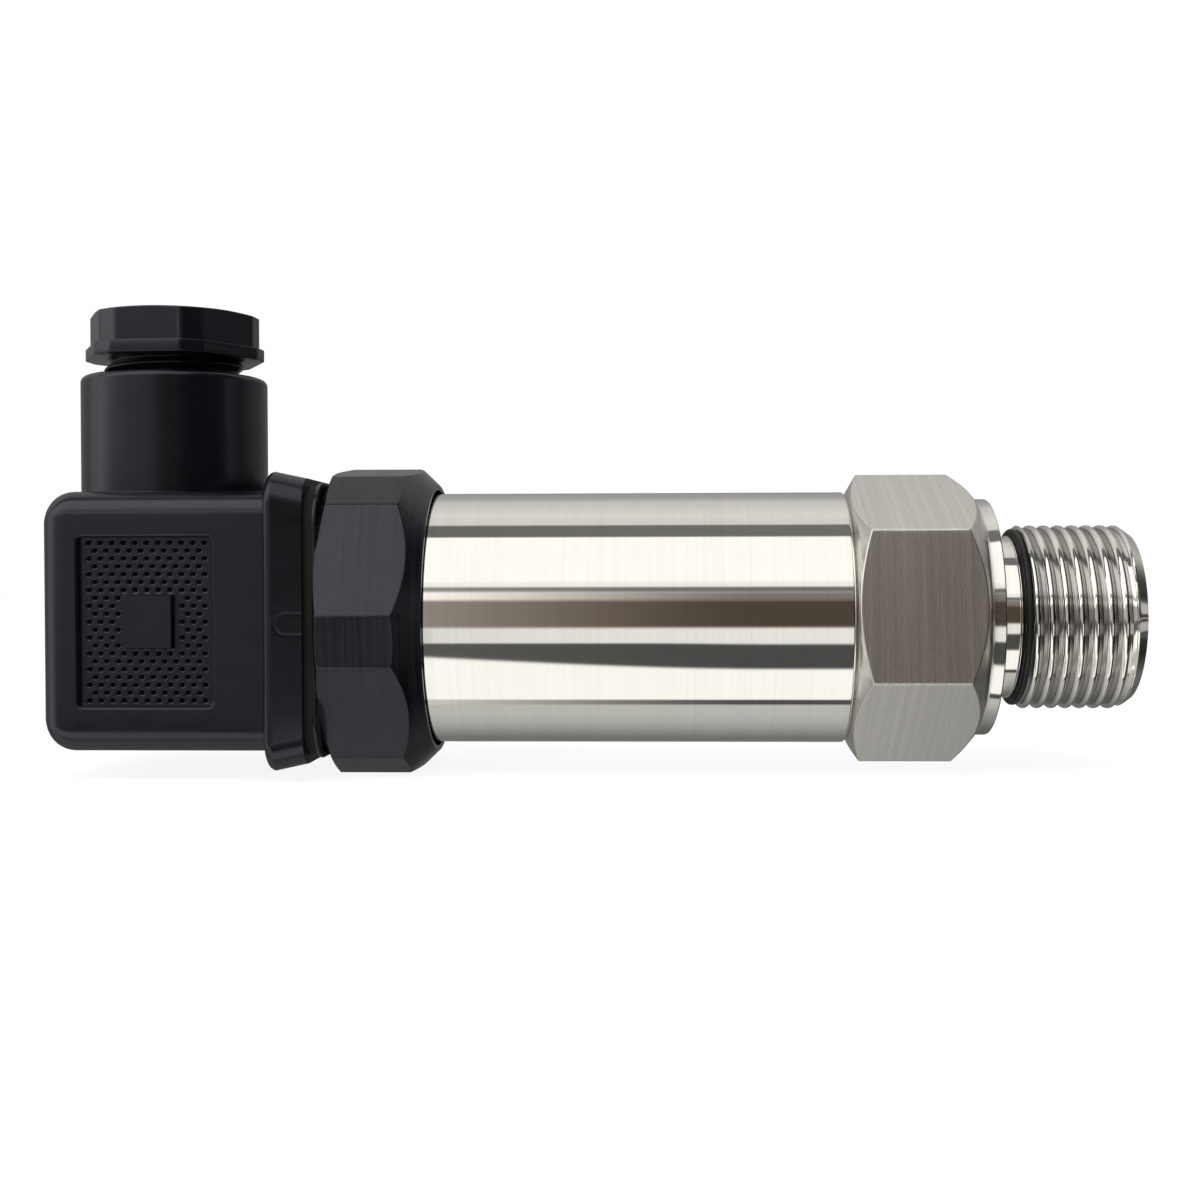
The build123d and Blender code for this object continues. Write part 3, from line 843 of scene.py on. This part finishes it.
# Flat gasket
# A square ring cut from black rubber sheet, squeezed between the base's flange and the plug.
gasket = Finish("gasket_rubber", Base_Color=light_of((10, 10, 11)), Roughness=0.7)
gasket.set("Normal", gasket.bump(gasket.noise(gasket.place((3000.0, 3000.0, 3000.0)), 3.0), 0.00002))
gasket.on(node["flat_gasket"])

# Plug housing
# The right-angle plug's moulded shell: a rounded box with a flared skirt over the base, a collar for
# the gland on top, a recess for the fixing screw in its end and a stippled panel on its near side.
HOOD_END = -98.7
HOOD_BACK = -74.9
HOOD_MOUTH = -70.9
HOOD_HALF = 13.4
HOOD_CORNER = 2.6
HOOD_END_EDGE = 3.5
END_CORNER_LOSS = 0.82
HOOD_INSIDE_END = -96.9
HOOD_INSIDE = 11.6
HOOD_INSIDE_CORNER = 1.0
SKIRT_HALF = 15.3
SKIRT_MOUTH_HALF = 14.63
SKIRT_CORNER = 3.2
SKIRT_EDGE = 1.0
RECESS = 3.6
RECESS_FLOOR = -95.5
HOOD_BOSS_END = -94.0
HOOD_BOSS = 5.1
PANEL_BACK = -94.3
PANEL_FRONT = -80.3
PANEL_HALF = 8.75
PANEL_DEPTH = 0.85
PANEL_CORNER = 0.6
PANEL_DRAFT = 0.16
PANEL_LIP = 0.1
PLATE_BACK = -89.45
PLATE_FRONT = -84.6
PLATE_HALF = 2.65
PLATE_CORNER = 0.1
PIT = 0.30
PIT_DEPTH = 0.42
PIT_ALONG = 1.2
PIT_ACROSS = 0.81
PIT_MARGIN = 0.45
PIT_BLUNT = 1.4
MARK_BACK = -73.6
MARK_LOW = -1.34
MARK_HIGH = 0.8
MARK_DEPTH = 0.035
MARK_LINE = 0.11
GLAND_X = -88.0
COLLAR = 9.93
COLLAR_FOOT = 11.7
COLLAR_SUPPORT = 0.12
COLLAR_TOP = 26.2
COLLAR_EDGE = 0.7
COLLAR_BORE = 7.55
LEDGE = 12.4
LEDGE_HOLE = 5.0
PIT_STEPS = 12
PIT_STEPS_ACROSS = 8
PANEL_BORDER = 0.3
PLAIN_AFTER = 0.8
END_BORDER = 0.3
SKIRT_STEP = 0.1
INSIDE_BREAK = 0.1
MOUTH_BREAK = 0.15
MOUTH_STEP = 0.04
RECESS_BREAK = 0.15
RECESS_BORDER = 0.5


def box_distance(u, v, low, high, half, corner):
    """Signed distance to a rectangle low to high in u and -half to half in v, with round corners."""
    across = np.abs(u - (low + high) / 2) - (high - low) / 2 + corner
    rise = np.abs(v) - half + corner
    outside = np.hypot(np.maximum(across, 0.0), np.maximum(rise, 0.0))
    return outside + np.minimum(np.maximum(across, rise), 0.0) - corner


def pits(x, z):
    """Depth of the stipple: blunt cones on a grid whose every second line is shifted by half a step."""
    depth = np.zeros(np.broadcast(x, z).shape)
    middle = (PANEL_BACK + PANEL_FRONT) / 2
    for shift in (0.0, 0.5):
        along = middle + PIT_ALONG * (np.round((x - middle) / PIT_ALONG - shift) + shift)
        across = 2 * PIT_ACROSS * (np.round(z / (2 * PIT_ACROSS) - shift) + shift)
        inside = box_distance(along, across, PANEL_BACK, PANEL_FRONT, PANEL_HALF, PANEL_CORNER) < -PIT_MARGIN
        clear = box_distance(along, across, PLATE_BACK, PLATE_FRONT, PLATE_HALF, 0.0) > PIT_MARGIN
        cone = np.clip(PIT_BLUNT - PIT_BLUNT * np.hypot(x - along, z - across) / PIT, 0.0, 1.0)
        depth = np.maximum(depth, cone * PIT_DEPTH * inside * clear)
    return depth


def side_relief(x, z):
    """How far the side's surface lies inside its plane: the panel with its pits and a chamfered lip,
    less the plate, and the D-shaped mark that the mould leaves on the skirt."""
    border = box_distance(x, z, PANEL_BACK, PANEL_FRONT, PANEL_HALF, PANEL_CORNER)
    plate = box_distance(x, z, PLATE_BACK, PLATE_FRONT, PLATE_HALF, PLATE_CORNER)
    wall = np.clip(-border / PANEL_DRAFT, 0.0, 1.0)
    lip = np.clip(1.0 - border / PANEL_DRAFT, 0.0, 1.0)
    around = np.clip(plate / PANEL_DRAFT, 0.0, 1.0)
    sunk = ((PANEL_DEPTH - PANEL_LIP) * wall + PANEL_LIP * lip) * around
    middle, half = (MARK_HIGH + MARK_LOW) / 2, (MARK_HIGH - MARK_LOW) / 2
    ring = np.abs(box_distance(x, z - middle, MARK_BACK, HOOD_MOUTH + 1.0, half, half))
    mark = np.exp(-((ring / MARK_LINE) ** 2)) * (x > HOOD_BACK + SKIRT_EDGE)
    return sunk + pits(x, z) * (wall * around == 1.0) + MARK_DEPTH * mark


def panel_lines(middle, half, step, *edges):
    """Grid lines a step apart on both sides of the middle, with one on each edge in place of those that
    lie close to it, and one a draft away on its two sides."""
    count = int(half / step)
    even = middle + step * np.arange(-count, count + 1)
    near = np.array([edge + side for edge in edges for side in (0.0, PANEL_DRAFT, -PANEL_DRAFT)])
    even = even[np.abs(even[:, None] - near).min(1) > step * 0.3]
    return np.sort(np.concatenate([even, near]))


def square_loop(half, corner, offsets):
    """Points (y, z) round a square with round corners, row by row: the side at -Y has a point on each
    offset, the others on a few, and a corner arc of radius corner joins each pair of sides."""
    arc = np.radians(np.linspace(0.0, 90.0, 9))
    plain = np.linspace(-0.98, 0.98, 15)
    half, corner = half[:, None], corner[:, None]
    straight = half - corner
    points = []
    for facing in range(4):
        turn = np.radians(-90.0 * facing + 180.0)
        side = offsets + 0 * straight if facing == 0 else plain * straight
        out = np.concatenate([half + 0 * side, straight + corner * np.cos(arc)], 1)
        along = np.concatenate([side, straight + corner * np.sin(arc)], 1)
        points.append(np.stack([
            out * np.cos(turn) + along * np.sin(turn), out * np.sin(turn) - along * np.cos(turn)
        ], -1))
    return np.concatenate(points, 1)


def hood_box():
    """The box as rows of loops along X: end face, outside with the panel, skirt, mouth, inside, boss
    and screw recess. On the side at -Y the relief moves points inward."""
    middle, half_long = (PANEL_BACK + PANEL_FRONT) / 2, (PANEL_FRONT - PANEL_BACK) / 2
    lines = panel_lines(
        middle, half_long + PANEL_BORDER, PIT_ALONG / PIT_STEPS,
        PANEL_BACK, PLATE_BACK, PLATE_FRONT, PANEL_FRONT,
    )
    offsets = panel_lines(
        0.0, PANEL_HALF + PANEL_BORDER, PIT_ACROSS / PIT_STEPS_ACROSS,
        -PANEL_HALF, -PLATE_HALF, PLATE_HALF, PANEL_HALF,
    )
    arc = np.radians(np.linspace(0.0, 90.0, 12))
    stations, halves, corners = [], [], []

    def rows(station, half, corner):
        for store, value in zip((stations, halves, corners), np.broadcast_arrays(station, half, corner)):
            store.append(np.atleast_1d(value).astype(float))

    fall = HOOD_END_EDGE * (1 - np.sin(arc))
    end_corner = HOOD_CORNER * (1 - END_CORNER_LOSS * fall / HOOD_END_EDGE)
    rows(HOOD_END, HOOD_HALF - HOOD_END_EDGE - END_BORDER, end_corner[0])
    rows(HOOD_END + HOOD_END_EDGE * (1 - np.cos(arc)), HOOD_HALF - fall, end_corner)
    rows(lines, HOOD_HALF, HOOD_CORNER)
    rows(np.linspace(PANEL_FRONT + PLAIN_AFTER, HOOD_BACK, 8), HOOD_HALF, HOOD_CORNER)
    bend = np.radians(np.linspace(0.0, 80.0, 7))
    edge_x = HOOD_BACK + SKIRT_EDGE * (1 - np.cos(bend))
    edge_half = SKIRT_HALF - SKIRT_EDGE * (1 - np.sin(bend))
    rows(edge_x, edge_half, SKIRT_CORNER)
    skirt = np.arange(HOOD_BACK + SKIRT_EDGE + SKIRT_STEP, HOOD_MOUTH, SKIRT_STEP)
    share = (skirt - edge_x[-1]) / (HOOD_MOUTH - edge_x[-1])
    rows(skirt, edge_half[-1] + share * (SKIRT_MOUTH_HALF - edge_half[-1]), SKIRT_CORNER)
    rows(HOOD_MOUTH - MOUTH_STEP, SKIRT_MOUTH_HALF, SKIRT_CORNER)
    rows(HOOD_MOUTH, SKIRT_MOUTH_HALF - MOUTH_BREAK, SKIRT_CORNER)
    rows(HOOD_MOUTH, HOOD_INSIDE + INSIDE_BREAK, HOOD_INSIDE_CORNER)
    rows([HOOD_MOUTH - INSIDE_BREAK, HOOD_INSIDE_END + INSIDE_BREAK], HOOD_INSIDE, HOOD_INSIDE_CORNER)
    rows(HOOD_INSIDE_END, HOOD_INSIDE - INSIDE_BREAK, HOOD_INSIDE_CORNER)
    stations, halves, corners = (np.concatenate(store) for store in (stations, halves, corners))
    loop = square_loop(halves, corners, offsets)
    depth = stations[:, None] + 0 * loop[..., 0]
    outside = np.arange(len(stations)) < np.argmax(stations >= HOOD_MOUTH)
    facing = loop[..., 0] < 0
    flat = np.abs(np.abs(loop[..., 0]) - halves[:, None]) < 0.001
    inward = side_relief(depth, loop[..., 1]) * (outside[:, None] & facing & flat)
    loop[..., 0] += inward
    round_angle = np.arctan2(loop[-1, :, 1], loop[-1, :, 0])
    circle = np.stack([np.cos(round_angle), np.sin(round_angle)], -1)
    ring_profile = eased([
        (HOOD_INSIDE_END, HOOD_BOSS),
        (HOOD_BOSS_END, HOOD_BOSS),
        (HOOD_BOSS_END, SCREW_HOLE),
        (RECESS_FLOOR, SCREW_HOLE),
        (RECESS_FLOOR, RECESS),
        (HOOD_END + RECESS_BREAK, RECESS),
        (HOOD_END, RECESS + RECESS_BREAK),
    ], round_angle, soft=0.1)
    rings = np.concatenate([ring_profile[..., :1], ring_profile[..., 1:] * circle], -1)
    box = np.concatenate([depth[..., None], loop], -1)
    rim = np.concatenate([depth[:1, :, None], (RECESS + RECESS_BORDER) * circle[None]], -1)
    return np.concatenate([rings[-1:], rim, box, rings]) * MM


def about_gland(profile, angles):
    """Carries a profile round the gland's axis: x = axis + radius cos(angle), y = radius sin(angle) and
    z = station."""
    station, radius = profile[..., 0], profile[..., 1]
    return np.stack([GLAND_X + radius * np.cos(angles), radius * np.sin(angles), station], -1) * MM


def cylinder(name, outline):
    """A closed turned solid about the gland's axis, from the axis out along the outline and back."""
    angles = columns(240)
    return skin(name, (about_gland(on_columns(outline, angles), angles), 0))


def carve(piece, operation, tool):
    """The piece's mesh joined with or cut by the tool's, exactly; the tool is deleted."""
    cut = piece.modifiers.new("cut", "BOOLEAN")
    cut.operation = operation
    cut.solver = "EXACT"
    cut.object = tool
    shown = bpy.context.evaluated_depsgraph_get()
    mesh = bpy.data.meshes.new_from_object(piece.evaluated_get(shown))
    piece.modifiers.remove(cut)
    piece.data = mesh
    bpy.data.objects.remove(tool)


def plug_housing():
    """The box as one closed sheet, with the collar added and the bore cut through both."""
    sheet = hood_box()
    piece = skin("connector_hood_moulded", (sheet, 0))
    piece.modifiers.clear()
    edge = np.radians(np.linspace(0.0, 90.0, 7))
    heights = COLLAR_TOP - COLLAR_EDGE * (1 - np.sin(edge))
    radii = COLLAR - COLLAR_EDGE * (1 - np.cos(edge))
    carve(piece, "UNION", cylinder("collar", [
        (COLLAR_FOOT, 0.0),
        (COLLAR_FOOT, COLLAR),
        (HOOD_HALF + COLLAR_SUPPORT, COLLAR),
        *zip(heights, radii),
        (COLLAR_TOP, 0.0),
    ]))
    carve(piece, "DIFFERENCE", cylinder("bore", [
        (HOOD_INSIDE - 1.0, 0.0),
        (HOOD_INSIDE - 1.0, LEDGE_HOLE),
        (LEDGE, LEDGE_HOLE),
        (LEDGE, COLLAR_BORE),
        (COLLAR_TOP + 1.0, COLLAR_BORE),
        (COLLAR_TOP + 1.0, 0.0),
    ]))
    return smoothed(piece, 35.0)


hood = plug_housing()
stand_for(hood, "plug", "plastic_hood", "connector_hood")
hood_plastic = black_plastic("hood_plastic", (8, 9, 13), sheen=0.15, drawn=0.3, flow=(160.0, 900.0, 900.0))
hood_plastic.on(hood)
block_plastic = black_plastic("block_plastic", (24, 25, 27), sheen=0.4, drawn=0.2, flow=(900.0, 900.0, 900.0))
block_plastic.on(node["terminal_block"])

# Gland nut and thrust washer
# Black nylon, moulded: a hexagon with cut corners on a thin flange over a threaded shank, with a
# funnel mouth for the cable. The washer under it keeps the rubber seal from twisting.
SHANK = 20.5
GLAND_FLANGE = 28.1
GLAND_HEAD = 29.4
GLAND_TOP = 33.0
GLAND_EDGE = 0.4
GLAND_HOLE = 4.6
GLAND_MOUTH = 6.2
GLAND_MOUTH_DEPTH = 2.2
GLAND_CREST = 7.45
GLAND_THREAD_DEPTH = 0.65
GLAND_PITCH = 1.41
GLAND_CREST_FLAT = 0.16
GLAND_ROOT_FLAT = 0.10
GLAND_HALF = 8.5
GLAND_CORNER_HALF = 9.16
GLAND_STEP = 0.5
GLAND_CORNERS = -3.0
GLAND_FIRST = 0.1
GLAND_TOP_FALL = 0.05
GLAND_FACE_BORDER = 0.15


def gland_nut():
    """Shank thread, then flange, head, mouth and bore, as two sheets round the gland's axis."""
    angles = columns(240, cut_places(GLAND_HALF, GLAND_CORNER_HALF, GLAND_CORNERS))
    head = cut_corners(angles, GLAND_HALF, GLAND_CORNER_HALF, GLAND_CORNERS)
    flange = cut_corners(
        angles, GLAND_HALF + GLAND_STEP, GLAND_CORNER_HALF + GLAND_STEP, GLAND_CORNERS
    )
    rows, slip = thread_rows(
        angles, SHANK, GLAND_FLANGE, GLAND_CREST, GLAND_THREAD_DEPTH, GLAND_PITCH,
        GLAND_CREST_FLAT, GLAND_ROOT_FLAT,
    )
    lead_in = GLAND_CREST - GLAND_THREAD_DEPTH + GLAND_FIRST + rows[..., 0] - SHANK
    rows[..., 1] = np.minimum(rows[..., 1], lead_in)
    widest = 2 * GLAND_CORNER_HALF / np.sqrt(3)
    top = GLAND_TOP - GLAND_EDGE * (head - GLAND_HALF) / (widest - GLAND_HALF) - GLAND_TOP_FALL
    rest = eased([
        (GLAND_FLANGE, rows[-1, :, 1]),
        (GLAND_FLANGE, flange),
        (GLAND_HEAD, flange),
        (GLAND_HEAD, head),
        (top, head),
        (GLAND_TOP, GLAND_HALF - GLAND_FACE_BORDER),
        (GLAND_TOP, GLAND_MOUTH),
        (GLAND_TOP - GLAND_MOUTH_DEPTH, GLAND_HOLE),
        (SHANK, GLAND_HOLE),
        (SHANK, rows[0, :, 1]),
    ], angles)
    return skin("gland_nut_moulded", (about_gland(rows, angles), slip), (about_gland(rest, angles), 0))


nut = gland_nut()
stand_for(nut, "gland_nut", "plastic_gland", "gland_nut")
gland_plastic = black_plastic("gland_plastic", (8, 9, 12), sheen=0.15, drawn=0.5, flow=(60.0, 60.0, 2200.0))
gland_plastic.on(nut, node["thrust_washer"])

# Gland seal
# A thick ring of black rubber on the ledge in the collar. The nut pushes the washer down on it, so
# that it closes round the cable; it is made as its own piece because it gets shorter then.
GLAND_SEAL_HOLE = 4.0
GLAND_SEAL = 7.35
GLAND_SEAL_TOP = 19.6


def gland_seal():
    """A closed ring profile round the gland's axis."""
    angles = columns(96)
    ring = eased([
        (LEDGE, GLAND_SEAL_HOLE),
        (LEDGE, GLAND_SEAL),
        (GLAND_SEAL_TOP, GLAND_SEAL),
        (GLAND_SEAL_TOP, GLAND_SEAL_HOLE),
        (LEDGE, GLAND_SEAL_HOLE),
    ], angles, soft=0.3)
    return skin("gland_seal_moulded", (about_gland(ring, angles), 0))


squeezed = gland_seal()
stand_for(squeezed, "plug", "gland_rubber", "gland_seal")
rubber.on(squeezed)
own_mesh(squeezed)

# Fixing screw and washer
# Zinc-plated steel, in the recess of the plug's end; the screw holds the plug to the insert.
zinc = plated("screw_zinc", (0.72, 0.73, 0.74), 0.28)
zinc.on(node["fixing_screw"], node["screw_washer"], node["terminal_screws"])
